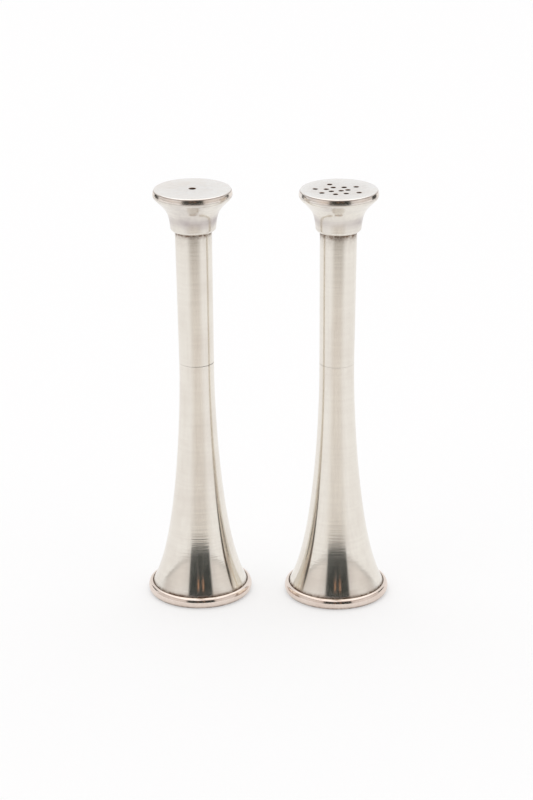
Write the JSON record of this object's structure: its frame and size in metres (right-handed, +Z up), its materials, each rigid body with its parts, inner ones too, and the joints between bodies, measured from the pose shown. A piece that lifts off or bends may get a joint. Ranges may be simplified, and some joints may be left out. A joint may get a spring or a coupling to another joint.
{
  "type": "salt and pepper shakers",
  "caption": "Slim horn-shaped silver salt and pepper shakers: a flared bell base, a tube that pulls out of it for filling, and a cup-shaped head closed by a pierced disc.",
  "frame": {"origin": "on the floor, midway between the two shakers' axes", "axes": "+Z up along both axes, +X from the salt shaker to the pepper shaker, -Y towards the viewer"},
  "size_m": [0.0802, 0.0346, 0.1397],
  "materials": {
    "body_silver": "satin silver plate over brass, lightly tarnished",
    "foot_silver": "polished silver plate over brass, tarnished in the seams",
    "head_silver": "satin silver plate over brass, tarnished under the lip",
    "disc_silver": "satin silver plate over brass, finely scratched",
    "inner_plate": "satin dull silver plate over brass"
  },
  "bodies": {
    "salt_lower": {"salt_base_plate": "inner_plate", "salt_foot_ring": "foot_silver", "salt_bell": "body_silver"},
    "salt_upper": {"salt_joint_sleeve": "inner_plate", "salt_upper_tube": "body_silver", "salt_head_shell": "head_silver", "salt_top_disc": "disc_silver"},
    "pepper_lower": {"pepper_base_plate": "inner_plate", "pepper_foot_ring": "foot_silver", "pepper_bell": "body_silver"},
    "pepper_upper": {"pepper_joint_sleeve": "inner_plate", "pepper_upper_tube": "body_silver", "pepper_head_shell": "head_silver", "pepper_top_disc": "disc_silver"}
  },
  "joints": [
    {"name": "salt_pull", "type": "slide", "parent": "salt_lower", "child": "salt_upper", "axis": [0, 0, 1], "range_m": [0, 0.06]},
    {"name": "pepper_lift", "type": "slide", "parent": "salt_lower", "child": "pepper_lower", "axis": [0, 0, 1], "range_m": [0, 0.15]},
    {"name": "pepper_pull", "type": "slide", "parent": "pepper_lower", "child": "pepper_upper", "axis": [0, 0, 1], "range_m": [0, 0.06]}
  ]
}
